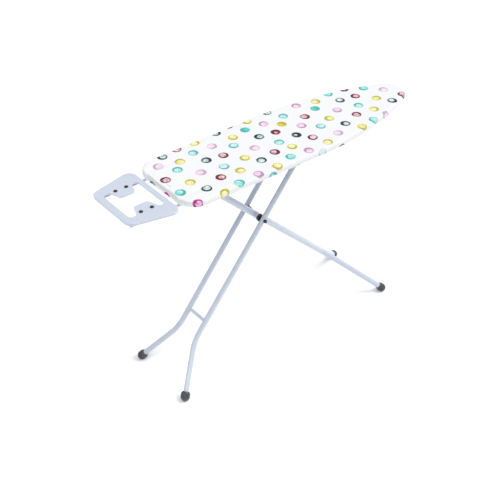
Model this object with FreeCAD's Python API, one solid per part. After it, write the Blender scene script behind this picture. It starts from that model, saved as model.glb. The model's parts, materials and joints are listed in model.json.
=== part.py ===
import FreeCAD, Part

import math
import os

# Folding ironing board with crossed tube legs and an iron rest, in millimetres.
# +Z is up, +X points to the nose and -Y is the side with the height lever.
# The floor is Z = 0 and the origin is midway between the iron rest's end and the nose.

V = FreeCAD.Vector

# Board
BOARD_LENGTH = 1100.0
BOARD_TOP = 836.0
NOSE_X = 647.5
BLUNT_X = NOSE_X - BOARD_LENGTH
HALF_WIDTH = 164.0
TAPER_X = 112.5
SIDE_SPLAY = math.radians(0.82)
CORNER_R = 70.0
NOSE_R = 69.0
COVER_DEPTH = 20.0
CLOTH = 1.0
PAD = 5.0
HEM = 26.0
PANEL = 1.2
RIM_WALL = 1.5
RIM_DEPTH = 11.0
HOLE_R = 8.0
HOLE_PITCH = 32.0
PANEL_MARGIN = 24.0
COVER_EDGE_R = 4.0
PAD_EDGE_R = 3.0

COVER_BOTTOM = BOARD_TOP - COVER_DEPTH
PAD_TOP = BOARD_TOP - CLOTH
PANEL_TOP = PAD_TOP - PAD
PANEL_BOTTOM = PANEL_TOP - PANEL
RIM_INSET = CLOTH + 0.2
RIM_BOTTOM = PANEL_BOTTOM - RIM_DEPTH

# Crossed legs: both are straight in the side view, from the floor through the cross bolt
FOOT_Z = 15.6
OUTER_FOOT_X = -498.0
INNER_FOOT_X = 500.0
OUTER_FOOT_Y = 140.0
INNER_FOOT_Y = 146.0
CROSS = V(-63.5, 0, 557.3)
PIVOT_Z = 790.0
OUTER_Y = 50.0
OUTER_R = 10.0
INNER_R = 12.5
BRANCH_R = 11.0
WALL = 1.5
OUTER_BEND_T = 512.0
OUTER_BEND_R = 165.0
BRACE_T = 429.0
BRACE_R = 6.0
FORK_T = 480.0
FORK_LAP = 12.0
TUBE_HEAD = 13.0
FOLD_DEG = 40.84

# Feet
FOOT_R = 17.0
FOOT_SLEEVE = 19.0
FOOT_SHOULDER = 8.0
FOOT_NECK_R = 13.0
FOOT_RIBS = 12
FOOT_GROOVE_R = 2.0

# Cross joint
BOLT_R = 4.0
RUNNING = 0.06
SLEEVE_R = 12.0
SLEEVE_END = 29.0
SPACER_R = 14.0
SPACER_GAP = 0.3
CAP_R = 6.5
CAP_LENGTH = 8.0
CAP_DOME_R = 4.0
CAP_SEAT = 4.0

# Fixed pivot under the blunt half of the board
CROSS_TUBE_R = 10.0
CROSS_TUBE_HALF = 62.0
PIVOT_EAR_Y = 66.0
EAR = 2.0
EAR_R = 16.0
EAR_FOOT = 18.0
PIVOT_CAP = 5.0
PIVOT_CAP_R = 8.0
ROD_SPARE = 3.0

# Sliding top bar and its two slotted guides
BAR_R = 5.0
BAR_HALF = 78.0
RUNNER_R = 7.0
RUNNER_FLANGE_R = 10.5
GUIDE_Y = 68.0
GUIDE_WALL = 2.0
SLOT_BELOW = 2.4
SLOT_ABOVE = 3.4
SLOT_SPARE = 2.0
GUIDE_MARGIN = 16.0
GUIDE_FOOT = 14.0
GUIDE_LIP = 6.0

# Height lever, a toothed channel hinged near the nose end of the guides
LEVER_PIN_X = 380.0
LEVER_PIN_Z = 812.0
LEVER_GAP = 1.0
BRACKET_BACK = 10.0
BRACKET_FRONT = 14.0
BRACKET_DROP = 7.0
LEVER_END_X = 95.0
LEVER_HALF = 14.0
LEVER_TAIL = 8.0
HANDLE_LAP = 10.0
LEVER_TOP = 820.0
TOOTH_TIP = 799.0
NOTCH_WIDTH = 13.0
NOTCH_DEPTH = 5.5
NOTCH_PITCH = 25.0
NOTCHES = 7
HANDLE_R = 3.0
HANDLE_Z = 805.0
HANDLE_X = 16.0
HANDLE_BEND = 25.0
GRIP_R = 6.5
GRIP_START = 98.0
GRIP_END = 138.0
SPRING_X = 212.0
SPRING_SPAN = 84.0
SPRING_WIDTH = 12.0
SPRING_LEAF = 0.8

# Iron rest
REST_OUTER_X = -NOSE_X
REST_INNER_X = -470.5
REST_OUTER_HALF = 110.0
REST_INNER_HALF = 150.5
REST_TOP = 830.0
REST_SHEET = 1.5
REST_FLANGE = 9.0
CUT_FLANGE = 6.0
REST_PAD_R = 6.5
REST_PAD_RISE = 2.5
REST_EDGE_R = 2.0
STRIP_HALF = 7.0
STRIP_WALL = 1.5
REST_PAD_Y = 73.5
REST_PAD_X = (-576.5, -535.5)
ARM_Y = 95.0
ARM_R = 5.0
ARM_Z = COVER_BOTTOM - 0.5 - ARM_R
ARM_START = -632.0
ARM_END = -345.0
CLAMP_X = -392.0
CLAMP_SCREW_Y = ARM_Y - 13.5
SCREW_R = 2.0
SCREW_HEAD_R = 3.8
SCREW_HEAD = 2.6
CLAMP_HALF = 9.0
CLAMP_INNER = 20.0
CLAMP_DROP = 7.0

# Cross rails welded under the panel: place along the board and half length
RAIL_BOTTOM = PANEL_BOTTOM - 12.0
RAIL_HALF_WIDTH = 9.0
RAILS = {"cross_rail_blunt": (CLAMP_X, 122.0), "cross_rail_middle": (66.0, 128.0),
         "cross_rail_nose": (420.0, 78.0)}


def unit(start, end):
    step = end - start
    return step.multiply(1.0 / step.Length)


OUTER_DOWN = unit(CROSS, V(OUTER_FOOT_X, 0, FOOT_Z))
INNER_DOWN = unit(CROSS, V(INNER_FOOT_X, 0, FOOT_Z))
OUTER_LOWER = (V(OUTER_FOOT_X, 0, FOOT_Z) - CROSS).Length
INNER_LOWER = (V(INNER_FOOT_X, 0, FOOT_Z) - CROSS).Length
OUTER_UPPER = (PIVOT_Z - CROSS.z) / -OUTER_DOWN.z
INNER_UPPER = (PIVOT_Z - CROSS.z) / -INNER_DOWN.z


def on_outer(t, y):
    """A point on the outer leg: t is the distance below the cross bolt."""
    return CROSS + OUTER_DOWN * t + V(0, y, 0)


def on_inner(t, y):
    """A point on the inner leg: t is the distance below the cross bolt."""
    return CROSS + INNER_DOWN * t + V(0, y, 0)


TOP_BAR = on_outer(-OUTER_UPPER, 0)
FIXED_PIVOT = on_inner(-INNER_UPPER, 0)


def folded_slide():
    """How far the top bar slides when the legs are folded flat."""
    low = math.asin(-INNER_DOWN.z) - math.radians(FOLD_DEG)
    rise = INNER_UPPER * math.sin(low)
    reach = INNER_UPPER * math.cos(low) + math.sqrt(OUTER_UPPER ** 2 - rise ** 2)
    return reach - (TOP_BAR.x - FIXED_PIVOT.x)


SLIDE = folded_slide()


def rod(start, end, radius):
    axis = end - start
    return Part.makeCylinder(radius, axis.Length, start, axis)


def cross_rod(x, z, y_from, y_to, radius):
    return rod(V(x, y_from, z), V(x, y_to, z), radius)


def box(x0, x1, y0, y1, z0, z1):
    low_y = min(y0, y1)
    return Part.makeBox(x1 - x0, abs(y1 - y0), z1 - z0, V(x0, low_y, z0))


def swept(path, radius, start, direction):
    circle = Part.Wire([Part.makeCircle(radius, start, direction)])
    return path.makePipeShell([circle], True, True)


# ---------------------------------------------------------------- board outline

def side_arc_radius():
    """Radius of the long side arc that runs from the straight side into the nose."""
    run = NOSE_X - NOSE_R - TAPER_X
    drop = run * math.sin(SIDE_SPLAY) + HALF_WIDTH * math.cos(SIDE_SPLAY) - NOSE_R
    return (run ** 2 + HALF_WIDTH ** 2 - NOSE_R ** 2) / (2.0 * drop)


def outline_points(inset):
    """Joints and mid points of the outline's +Y half, moved inwards by inset."""
    s = math.sin(SIDE_SPLAY)
    c = math.cos(SIDE_SPLAY)
    long_r = side_arc_radius()
    centre = V(TAPER_X + long_r * s, HALF_WIDTH - long_r * c, 0)
    nose = V(NOSE_X - NOSE_R, 0, 0)
    corner_x = BLUNT_X + CORNER_R
    corner_y = HALF_WIDTH - (TAPER_X - corner_x + CORNER_R * s) * s / c - CORNER_R * c
    corner = V(corner_x, corner_y, 0)
    toward = (nose - centre).multiply(1.0 / (nose - centre).Length)
    start_angle = math.pi / 2 + SIDE_SPLAY
    end_angle = math.atan2(toward.y, toward.x)

    def on(mid, radius, angle):
        return mid + V(math.cos(angle), math.sin(angle), 0) * (radius - inset)

    return {
        "blunt": on(corner, CORNER_R, math.pi),
        "corner_mid": on(corner, CORNER_R, (math.pi + start_angle) / 2),
        "corner_end": on(corner, CORNER_R, start_angle),
        "taper": on(centre, long_r, start_angle),
        "side_mid": on(centre, long_r, (start_angle + end_angle) / 2),
        "nose_start": on(nose, NOSE_R, end_angle),
        "nose_mid": on(nose, NOSE_R, end_angle / 2),
        "tip": on(nose, NOSE_R, 0.0),
    }


def outline_edges(inset, z):
    """The outline's edges in order, round from the blunt end, at height z."""
    up = {name: point + V(0, 0, z) for name, point in outline_points(inset).items()}
    down = {name: V(point.x, -point.y, point.z) for name, point in up.items()}

    def line(a, b):
        return Part.LineSegment(a, b).toShape()

    def arc(a, b, c):
        return Part.Arc(a, b, c).toShape()

    return [
        line(down["blunt"], up["blunt"]),
        arc(up["blunt"], up["corner_mid"], up["corner_end"]),
        line(up["corner_end"], up["taper"]),
        arc(up["taper"], up["side_mid"], up["nose_start"]),
        arc(up["nose_start"], up["tip"], down["nose_start"]),
        arc(down["nose_start"], down["side_mid"], down["taper"]),
        line(down["taper"], down["corner_end"]),
        arc(down["corner_end"], down["corner_mid"], down["blunt"]),
    ]


def outline_face(inset, z):
    return Part.Face(Part.Wire(outline_edges(inset, z)))


def outline_plate(inset, z0, z1):
    return outline_face(inset, z0).extrude(V(0, 0, z1 - z0))


def half_width_at(x):
    """Half width of the board at x, for keeping the holes off the edge."""
    if x < BLUNT_X + CORNER_R:
        reach = BLUNT_X + CORNER_R - x
        corner_y = outline_points(0)["blunt"].y
        return corner_y + math.sqrt(max(CORNER_R ** 2 - reach ** 2, 0.0))
    if x < TAPER_X:
        return HALF_WIDTH - (TAPER_X - x) * math.tan(SIDE_SPLAY)
    long_r = side_arc_radius()
    centre_x = TAPER_X + long_r * math.sin(SIDE_SPLAY)
    centre_y = HALF_WIDTH - long_r * math.cos(SIDE_SPLAY)
    side_y = centre_y + math.sqrt(long_r ** 2 - (x - centre_x) ** 2)
    if x < outline_points(0)["nose_start"].x:
        return side_y
    return math.sqrt(max(NOSE_R ** 2 - (x - NOSE_X + NOSE_R) ** 2, 0.0))


# ---------------------------------------------------------------- board body

def cover():
    """Cloth cover: a top sheet, a side skirt and a hem turned in under the rim."""
    shell = outline_plate(0, COVER_BOTTOM, BOARD_TOP)
    top_edges = [e for e in shell.Edges if e.BoundBox.ZMin > BOARD_TOP - 0.01]
    shell = shell.makeFillet(COVER_EDGE_R, top_edges)
    inside = outline_plate(CLOTH, COVER_BOTTOM + CLOTH, PAD_TOP)
    inside_edges = [e for e in inside.Edges if e.BoundBox.ZMin > PAD_TOP - 0.01]
    inside = inside.makeFillet(PAD_EDGE_R, inside_edges)
    opening = outline_plate(HEM, COVER_BOTTOM - 1, COVER_BOTTOM + 2 * CLOTH)
    return shell.cut(inside).cut(opening)


def foam_pad():
    pad = outline_plate(RIM_INSET, PANEL_TOP, PAD_TOP)
    top_edges = [e for e in pad.Edges if e.BoundBox.ZMin > PAD_TOP - 0.01]
    return pad.makeFillet(PAD_EDGE_R, top_edges)


def top_panel():
    """Sheet steel panel with staggered round steam holes."""
    row_step = HOLE_PITCH * math.sqrt(3) / 2
    rows = int(HALF_WIDTH / row_step)
    columns = int(BOARD_LENGTH / HOLE_PITCH) + 1
    reach = HOLE_R + PANEL_MARGIN
    holes = []
    for row in range(-rows, rows + 1):
        y = row * row_step
        shift = HOLE_PITCH / 2 if row % 2 else 0.0
        for column in range(columns):
            x = BLUNT_X + reach + shift + column * HOLE_PITCH
            if x > NOSE_X - reach:
                continue
            if abs(y) > half_width_at(x) - reach:
                continue
            hole = Part.makeCircle(HOLE_R, V(x, y, PANEL_BOTTOM), V(0, 0, 1))
            holes.append(Part.Wire([hole]))
    face = Part.Face([Part.Wire(outline_edges(RIM_INSET, PANEL_BOTTOM))] + holes)
    face.validate()
    return face.extrude(V(0, 0, PANEL))


def rim_ring():
    outer = outline_plate(RIM_INSET, RIM_BOTTOM, PANEL_BOTTOM)
    inner = outline_plate(RIM_INSET + RIM_WALL, RIM_BOTTOM - 1, PANEL_BOTTOM + 1)
    return outer.cut(inner)


def rim_piece(x0, x1, y0, y1):
    """The part of the folded rim strip that lies inside a box in plan."""
    return rim_ring().common(box(x0, x1, y0, y1, RIM_BOTTOM - 1, PANEL_BOTTOM + 1))


def rim_blunt():
    return rim_piece(BLUNT_X - 5, BLUNT_X + CORNER_R, -200, 200)


def rim_side(side):
    nose_start = outline_points(0)["nose_start"].x
    return rim_piece(BLUNT_X + CORNER_R, nose_start, 5 * side, 200 * side)


def rim_nose():
    return rim_piece(outline_points(0)["nose_start"].x, NOSE_X + 5, -200, 200)


def cross_rail(name):
    """Downward channel welded across the underside of the panel."""
    x, half = RAILS[name]
    channel = box(x - RAIL_HALF_WIDTH, x + RAIL_HALF_WIDTH, -half, half, RAIL_BOTTOM, PANEL_BOTTOM)
    inner = RAIL_HALF_WIDTH - RIM_WALL
    hollow = box(x - inner, x + inner, -half - 1, half + 1, RAIL_BOTTOM - 1, PANEL_BOTTOM - RIM_WALL)
    return channel.cut(hollow)


def pivot_bracket(side):
    """Ear with a welded foot that carries one end of the fixed pivot rod."""
    x = FIXED_PIVOT.x
    y0 = PIVOT_EAR_Y
    y1 = y0 + EAR
    ear = box(x - EAR_R, x + EAR_R, side * y0, side * y1, PIVOT_Z, PANEL_BOTTOM)
    eye = cross_rod(x, PIVOT_Z, side * y0, side * y1, EAR_R)
    foot_z = PANEL_BOTTOM - EAR
    foot = box(x - EAR_R, x + EAR_R, side * y1, side * (y0 + EAR_FOOT), foot_z, PANEL_BOTTOM)
    bore = cross_rod(x, PIVOT_Z, side * (y0 - 1), side * (y0 + 8), BOLT_R)
    return ear.fuse([eye, foot]).removeSplitter().cut(bore)


def fixed_pivot_rod():
    half = PIVOT_EAR_Y + EAR + ROD_SPARE
    return cross_rod(FIXED_PIVOT.x, PIVOT_Z, -half, half, BOLT_R)


def push_cap(x, z, side, y0, length, radius, shaft_r):
    """Domed push-on cap over the end of a round rod."""
    y1 = y0 + length
    cap = cross_rod(x, z, side * y0, side * y1, radius)
    rim = [e for e in cap.Edges if abs(e.BoundBox.Center.y - side * y1) < 0.01 and e.Length > radius]
    cap = cap.makeFillet(length * 0.4, rim[:1])
    return cap.cut(cross_rod(x, z, side * (y0 - 1), side * (y0 + length - 2), shaft_r))


def pivot_rod_caps():
    y0 = PIVOT_EAR_Y + EAR
    caps = [push_cap(FIXED_PIVOT.x, PIVOT_Z, side, y0, PIVOT_CAP, PIVOT_CAP_R, BOLT_R)
            for side in (-1, 1)]
    return Part.makeCompound(caps)


def guide_rail(side):
    """Slotted plate with a welded foot; a runner on the top bar slides in the slot."""
    x0 = TOP_BAR.x - GUIDE_MARGIN
    x1 = TOP_BAR.x + SLIDE + GUIDE_MARGIN
    y0 = side * GUIDE_Y
    y1 = side * (GUIDE_Y + GUIDE_WALL)
    low = PIVOT_Z - RUNNER_R - SLOT_BELOW
    high = PIVOT_Z + RUNNER_R + SLOT_ABOVE
    middle = (low + high) / 2
    slot_r = (high - low) / 2
    web = box(x0, x1, y0, y1, low - GUIDE_LIP, PANEL_BOTTOM)
    foot = box(x0, x1, y1, side * (GUIDE_Y + GUIDE_FOOT), PANEL_BOTTOM - EAR, PANEL_BOTTOM)
    end_r = slot_r - RUNNER_R - SLOT_SPARE
    first = TOP_BAR.x + end_r
    last = TOP_BAR.x + SLIDE - end_r
    slot = box(first, last, side * (GUIDE_Y - 1), side * (GUIDE_Y + GUIDE_WALL + 1), low, high)
    ends = [cross_rod(x, middle, side * (GUIDE_Y - 1), side * (GUIDE_Y + GUIDE_WALL + 1), slot_r)
            for x in (first, last)]
    return web.fuse(foot).removeSplitter().cut(slot.fuse(ends))


def lever_bracket():
    """Channel bracket with two ears that hold the lever pin."""
    x0 = LEVER_PIN_X - BRACKET_BACK
    x1 = LEVER_PIN_X + BRACKET_FRONT
    outside = LEVER_HALF + LEVER_GAP + EAR
    block = box(x0, x1, -outside, outside, LEVER_PIN_Z - BRACKET_DROP, PANEL_BOTTOM)
    inside = box(x0 - 1, x1 + 1, -outside + EAR, outside - EAR, 0, PANEL_BOTTOM - EAR)
    bore = cross_rod(LEVER_PIN_X, LEVER_PIN_Z, -outside - 1, outside + 1, HANDLE_R)
    return block.cut(inside).cut(bore)


def lever_pin():
    half = LEVER_HALF + LEVER_GAP + EAR + ROD_SPARE
    return cross_rod(LEVER_PIN_X, LEVER_PIN_Z, -half, half, HANDLE_R)


def lever_spring():
    """Bowed leaf spring under the panel that presses the lever down."""
    y = -SPRING_WIDTH / 2
    left = SPRING_X - SPRING_SPAN / 2
    right = SPRING_X + SPRING_SPAN / 2
    top = PANEL_BOTTOM
    low = LEVER_TOP + 0.5
    t = SPRING_LEAF
    upper = Part.Arc(V(left, y, top), V(SPRING_X, y, low + t), V(right, y, top)).toShape()
    lower = Part.Arc(V(right, y, top - t), V(SPRING_X, y, low), V(left, y, top - t)).toShape()
    end = Part.LineSegment(V(right, y, top), V(right, y, top - t)).toShape()
    start = Part.LineSegment(V(left, y, top - t), V(left, y, top)).toShape()
    return Part.Face(Part.Wire([upper, end, lower, start])).extrude(V(0, SPRING_WIDTH, 0))


# ---------------------------------------------------------------- iron rest

def rounded_wire(corners, z):
    """Closed wire through (x, y, fillet radius) corners, each rounded by an arc."""
    points = [V(x, y, z) for x, y, _ in corners]
    count = len(points)
    starts = []
    arcs = []
    for i, (here, (_, _, radius)) in enumerate(zip(points, corners)):
        back = unit(here, points[i - 1])
        ahead = unit(here, points[(i + 1) % count])
        half = back.getAngle(ahead) / 2
        run = radius / math.tan(half)
        a = here + back * run
        b = here + ahead * run
        centre = here + unit(V(0, 0, 0), back + ahead) * (radius / math.sin(half))
        middle = centre + unit(centre, here) * radius
        arcs.append(Part.Arc(a, middle, b).toShape())
        starts.append((a, b))
    edges = []
    for i in range(count):
        edges.append(arcs[i])
        following = starts[(i + 1) % count][0]
        if (following - starts[i][1]).Length > 0.01:
            edges.append(Part.LineSegment(starts[i][1], following).toShape())
    return Part.Wire(edges)


def mirrored(half):
    """Corners for +Y, then the same corners for -Y in the reverse order."""
    return half + [(x, -y, r) for x, y, r in reversed(half)]


REST_OUTLINE = mirrored([
    (REST_OUTER_X, REST_OUTER_HALF, 33.0),
    (REST_INNER_X, REST_INNER_HALF, 28.0),
])

REST_CUT_OUT = mirrored([
    (-622.0, 80.0, 12.0),
    (-597.0, 80.0, 12.0),
    (-580.0, 34.0, 15.0),
    (-526.0, 34.0, 15.0),
    (-512.0, 80.0, 10.0),
    (-491.0, 80.0, 10.0),
])


def slab(wire, z0, z1):
    face = Part.Face(wire)
    face.translate(V(0, 0, z0 - wire.BoundBox.ZMin))
    return face.extrude(V(0, 0, z1 - z0))


def grown(wire, offset):
    return wire.makeOffset2D(offset)


def iron_rest_plate():
    """Pressed tray: a flat sheet, a flange round its edge and one round the cut-out."""
    edge = rounded_wire(REST_OUTLINE, 0)
    cut_out = rounded_wire(REST_CUT_OUT, 0)
    tray = slab(edge, REST_TOP - REST_FLANGE, REST_TOP)
    upper = [e for e in tray.Edges if e.BoundBox.ZMin > REST_TOP - 0.01]
    tray = tray.makeFillet(REST_EDGE_R, upper)
    inside = slab(grown(edge, -REST_SHEET), REST_TOP - REST_FLANGE - 1, REST_TOP - REST_SHEET)
    collar = slab(grown(cut_out, REST_SHEET), REST_TOP - CUT_FLANGE, REST_TOP - REST_SHEET)
    opening = slab(cut_out, REST_TOP - REST_FLANGE - 1, REST_TOP + 1)
    return tray.cut(inside).fuse(collar).removeSplitter().cut(opening)


def rest_pad(x, y):
    """Round rubber button on which the iron's sole rests."""
    button = Part.makeCylinder(REST_PAD_R, REST_PAD_RISE, V(x, y, REST_TOP))
    rim = [e for e in button.Edges if e.BoundBox.ZMin > REST_TOP + REST_PAD_RISE - 0.01]
    return button.makeFillet(1.0, rim)


def rest_arm(side):
    return rod(V(ARM_START, side * ARM_Y, ARM_Z), V(ARM_END, side * ARM_Y, ARM_Z), ARM_R)


def rest_support(side):
    """Strip welded between the rest's sheet and its arm."""
    y = side * ARM_Y
    top = REST_TOP - REST_SHEET
    x0 = ARM_START + 12
    x1 = REST_INNER_X - 14
    web = box(x0, x1, y - STRIP_WALL / 2, y + STRIP_WALL / 2, ARM_Z, top)
    foot = box(x0, x1, y - STRIP_HALF, y + STRIP_HALF, top - STRIP_WALL, top)
    return web.fuse(foot).removeSplitter().cut(rest_arm(side))


def rest_clamp(side):
    """Block under the blunt cross rail that grips one arm."""
    y0 = side * (ARM_Y - CLAMP_INNER)
    y1 = side * (ARM_Y + CLAMP_HALF)
    block = box(CLAMP_X - CLAMP_HALF, CLAMP_X + CLAMP_HALF, y0, y1, ARM_Z - CLAMP_DROP, RAIL_BOTTOM)
    edges = [e for e in block.Edges if e.BoundBox.ZLength > 5]
    block = block.makeFillet(3.0, edges)
    screw_y = side * CLAMP_SCREW_Y
    bore = rod(V(CLAMP_X, screw_y, 0), V(CLAMP_X, screw_y, RAIL_BOTTOM + 1), SCREW_R)
    return block.cut(rest_arm(side)).cut(bore)


def rest_screws():
    """One screw up through each clamp into the cross rail."""
    screws = []
    for side in (-1, 1):
        y = side * CLAMP_SCREW_Y
        seat = ARM_Z - CLAMP_DROP
        head = Part.makeCylinder(SCREW_HEAD_R, SCREW_HEAD, V(CLAMP_X, y, seat - SCREW_HEAD))
        shank = Part.makeCylinder(SCREW_R, RAIL_BOTTOM - seat, V(CLAMP_X, y, seat))
        slot = box(CLAMP_X - 4, CLAMP_X + 4, y - 0.5, y + 0.5, seat - 3, seat - SCREW_HEAD + 1)
        screws.append(head.fuse(shank).removeSplitter().cut(slot))
    return Part.makeCompound(screws)


# ---------------------------------------------------------------- outer leg

def outer_path(side, t_end):
    """Tube centre line: straight down, one bend outwards, straight to the foot."""
    spread = OUTER_FOOT_Y - OUTER_Y
    flare = math.atan2(spread, OUTER_LOWER - OUTER_BEND_T)
    tangent = OUTER_BEND_R * math.tan(flare / 2)
    bend_start = OUTER_BEND_T - tangent
    bend_end = OUTER_BEND_T + tangent * math.cos(flare)
    head = on_outer(-OUTER_UPPER - TUBE_HEAD, side * OUTER_Y)
    a = on_outer(bend_start, side * OUTER_Y)
    b = on_outer(bend_end, side * (OUTER_Y + tangent * math.sin(flare)))
    middle_t = bend_start + OUTER_BEND_R * math.sin(flare / 2)
    middle_y = OUTER_Y + OUTER_BEND_R * (1 - math.cos(flare / 2))
    middle = on_outer(middle_t, side * middle_y)
    end = on_outer(t_end, side * (OUTER_FOOT_Y - (OUTER_LOWER - t_end) * math.tan(flare)))
    edges = [Part.LineSegment(head, a).toShape(), Part.Arc(a, middle, b).toShape(),
             Part.LineSegment(b, end).toShape()]
    return Part.Wire(edges), head


def outer_solid(side, radius):
    path, head = outer_path(side, OUTER_LOWER)
    return swept(path, radius, head, OUTER_DOWN)


def outer_tube(side):
    tube = outer_solid(side, OUTER_R).cut(outer_solid(side, OUTER_R - WALL))
    y0 = side * (OUTER_Y - 15)
    y1 = side * (OUTER_Y + 15)
    holes = [cross_rod(CROSS.x, CROSS.z, y0, y1, BOLT_R), cross_rod(TOP_BAR.x, PIVOT_Z, y0, y1, BAR_R)]
    return tube.cut(holes[0]).cut(holes[1])


def tube_plug(side):
    """Plastic plug in the open top end of an outer tube."""
    head = on_outer(-OUTER_UPPER - TUBE_HEAD, side * OUTER_Y)
    collar = rod(head, head - OUTER_DOWN * 2.5, OUTER_R)
    rim = [e for e in collar.Edges if e.Length > 20 and (e.BoundBox.Center - head).Length > 2]
    collar = collar.makeFillet(1.5, rim[:1])
    return collar.fuse(rod(head, head + OUTER_DOWN * 6, OUTER_R - WALL)).removeSplitter()


def outer_brace():
    """Tie rod between the two outer tubes, coped to their round walls."""
    bar = rod(on_outer(BRACE_T, -OUTER_Y), on_outer(BRACE_T, OUTER_Y), BRACE_R)
    return bar.cut(outer_solid(-1, OUTER_R)).cut(outer_solid(1, OUTER_R))


def top_bar():
    return cross_rod(TOP_BAR.x, PIVOT_Z, -BAR_HALF, BAR_HALF, BAR_R)


def runner(side):
    """Flanged plastic sleeve on the end of the top bar."""
    sleeve = cross_rod(TOP_BAR.x, PIVOT_Z, side * (GUIDE_Y - 3), side * (GUIDE_Y + GUIDE_WALL + 1), RUNNER_R)
    flange = cross_rod(TOP_BAR.x, PIVOT_Z, side * (GUIDE_Y - 3), side * (GUIDE_Y - 0.5), RUNNER_FLANGE_R)
    bore = cross_rod(TOP_BAR.x, PIVOT_Z, side * (GUIDE_Y - 5), side * (GUIDE_Y + 10), BAR_R)
    return sleeve.fuse(flange).removeSplitter().cut(bore)


def bar_caps():
    y0 = GUIDE_Y + GUIDE_WALL + 1
    caps = [push_cap(TOP_BAR.x, PIVOT_Z, side, y0, BAR_HALF - y0 + 2, RUNNER_FLANGE_R, BAR_R)
            for side in (-1, 1)]
    return Part.makeCompound(caps)


def cross_bolt():
    half = OUTER_Y + OUTER_R + CAP_LENGTH - ROD_SPARE
    return cross_rod(CROSS.x, CROSS.z, -half, half, BOLT_R)


def cap_nut(side):
    """Domed cap nut seated on the outside of an outer tube."""
    face = OUTER_Y + OUTER_R
    nut = cross_rod(CROSS.x, CROSS.z, side * (face - CAP_SEAT), side * (face + CAP_LENGTH), CAP_R)
    end_y = side * (face + CAP_LENGTH)
    rim = [e for e in nut.Edges if abs(e.BoundBox.Center.y - end_y) < 0.01 and e.Length > 20]
    nut = nut.makeFillet(CAP_DOME_R, rim[:1])
    return nut.cut(outer_solid(side, OUTER_R)).cut(cross_bolt())


# ---------------------------------------------------------------- inner leg

def inner_solid(radius, t_end):
    return rod(on_inner(-INNER_UPPER, 0), on_inner(t_end, 0), radius)


def inner_tube():
    """Centre tube, coped to the cross tube at the top and drilled for the bolt."""
    tube = inner_solid(INNER_R, FORK_T + FORK_LAP)
    tube = tube.cut(inner_solid(INNER_R - WALL, FORK_T + FORK_LAP - 3))
    crown = cross_rod(FIXED_PIVOT.x, PIVOT_Z, -40, 40, CROSS_TUBE_R)
    bore = cross_rod(CROSS.x, CROSS.z, -30, 30, BOLT_R + RUNNING)
    return tube.cut(crown).cut(bore)


def inner_cross_tube():
    tube = cross_rod(FIXED_PIVOT.x, PIVOT_Z, -CROSS_TUBE_HALF, CROSS_TUBE_HALF, CROSS_TUBE_R)
    return tube.cut(cross_rod(FIXED_PIVOT.x, PIVOT_Z, -70, 70, CROSS_TUBE_R - WALL))


def pivot_bush(side):
    """Flanged plastic bush in one end of the cross tube; it turns on the fixed rod."""
    x = FIXED_PIVOT.x
    end = CROSS_TUBE_HALF
    sleeve = cross_rod(x, PIVOT_Z, side * (end - 16), side * (end + 3), CROSS_TUBE_R - WALL)
    flange = cross_rod(x, PIVOT_Z, side * end, side * (end + 3), CROSS_TUBE_R)
    bore = cross_rod(x, PIVOT_Z, side * (end - 20), side * (end + 5), BOLT_R + RUNNING)
    return sleeve.fuse(flange).removeSplitter().cut(bore)


def branch(side):
    """One lower branch of the inner leg, coped to the centre tube and its twin."""
    foot = on_inner(INNER_LOWER, side * INNER_FOOT_Y)
    start = on_inner(FORK_T, 0)
    tube = rod(start, foot, BRANCH_R).cut(rod(start, foot, BRANCH_R - WALL))
    keep = box(-900, 900, 0, side * 400, -100, 900)
    tube = tube.common(keep)
    return tube.cut(inner_solid(INNER_R, FORK_T + FORK_LAP))


def cross_sleeve(side):
    """Short tube welded to the side of the centre tube, round the cross bolt."""
    sleeve = cross_rod(CROSS.x, CROSS.z, side * 2, side * SLEEVE_END, SLEEVE_R)
    bore = cross_rod(CROSS.x, CROSS.z, 0, side * (SLEEVE_END + 1), BOLT_R + RUNNING)
    return sleeve.cut(inner_solid(INNER_R, FORK_T)).cut(bore)


def spacer(side):
    """Plastic washer on the cross bolt between the sleeve and the outer tube."""
    outer_end = OUTER_Y - OUTER_R - SPACER_GAP
    washer = cross_rod(CROSS.x, CROSS.z, side * SLEEVE_END, side * outer_end, SPACER_R)
    return washer.cut(cross_rod(CROSS.x, CROSS.z, 0, side * (outer_end + 1), BOLT_R + RUNNING))


# ---------------------------------------------------------------- feet

def foot(end, direction, tube):
    """Ribbed rubber cap: a shoulder, a sleeve and a ball end, cut flat where it stands."""
    back = end - direction * FOOT_SLEEVE
    shoulder = Part.makeCone(FOOT_NECK_R, FOOT_R, FOOT_SHOULDER, back, direction)
    sleeve = rod(back + direction * FOOT_SHOULDER, end, FOOT_R)
    body = sleeve.fuse([shoulder, Part.makeSphere(FOOT_R, end)]).removeSplitter()
    side = direction.cross(V(0, 0, 1)).normalize()
    other = direction.cross(side)
    grooves = []
    for i in range(FOOT_RIBS):
        angle = 2 * math.pi * i / FOOT_RIBS
        offset = side * (FOOT_R * math.cos(angle)) + other * (FOOT_R * math.sin(angle))
        grooves.append(rod(back + direction * 3 + offset, end + direction * 4 + offset, FOOT_GROOVE_R))
    body = body.cut(Part.makeCompound(grooves))
    floor = box(end.x - 60, end.x + 60, end.y - 60, end.y + 60, -80, 0)
    return body.cut(floor).cut(tube)


def outer_foot(side):
    flare = math.atan2(OUTER_FOOT_Y - OUTER_Y, OUTER_LOWER - OUTER_BEND_T)
    direction = OUTER_DOWN * math.cos(flare) + V(0, side * math.sin(flare), 0)
    end = on_outer(OUTER_LOWER, side * OUTER_FOOT_Y)
    return foot(end, direction, rod(end - direction * 80, end, OUTER_R))


def inner_foot(side):
    end = on_inner(INNER_LOWER, side * INNER_FOOT_Y)
    start = on_inner(FORK_T, 0)
    return foot(end, unit(start, end), rod(start, end, BRANCH_R))


# ---------------------------------------------------------------- height lever

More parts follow.
